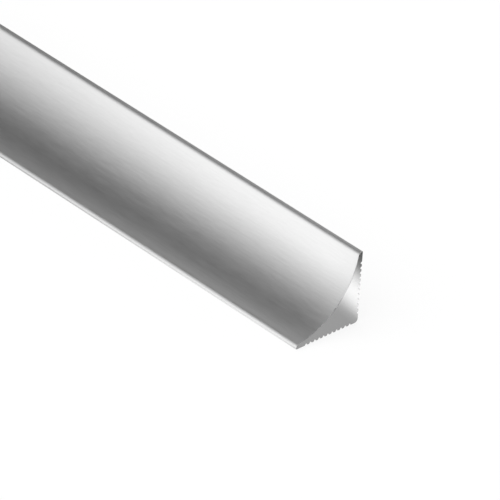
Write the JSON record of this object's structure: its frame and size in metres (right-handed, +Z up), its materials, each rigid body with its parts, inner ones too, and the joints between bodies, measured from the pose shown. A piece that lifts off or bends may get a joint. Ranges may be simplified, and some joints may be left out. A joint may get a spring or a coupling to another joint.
{
  "type": "aluminium cove trim profile",
  "caption": "Solid extruded aluminium cove trim: right-angled legs with serrated bonding faces and a concave face between rounded lips, to round off an inside corner.",
  "frame": {"origin": "middle of the bar's length and depth, on the plane of its base", "axes": "+X along the bar, +Y from the front lip to the wall face, +Z up from the base to the top lip"},
  "size_m": [1, 0.015, 0.015],
  "materials": {
    "anodised_aluminium": "satin silver anodised, with faint lengthwise die lines and sawn ends"
  },
  "bodies": {
    "root": {"cove_profile": "anodised_aluminium"}
  },
  "joints": []
}
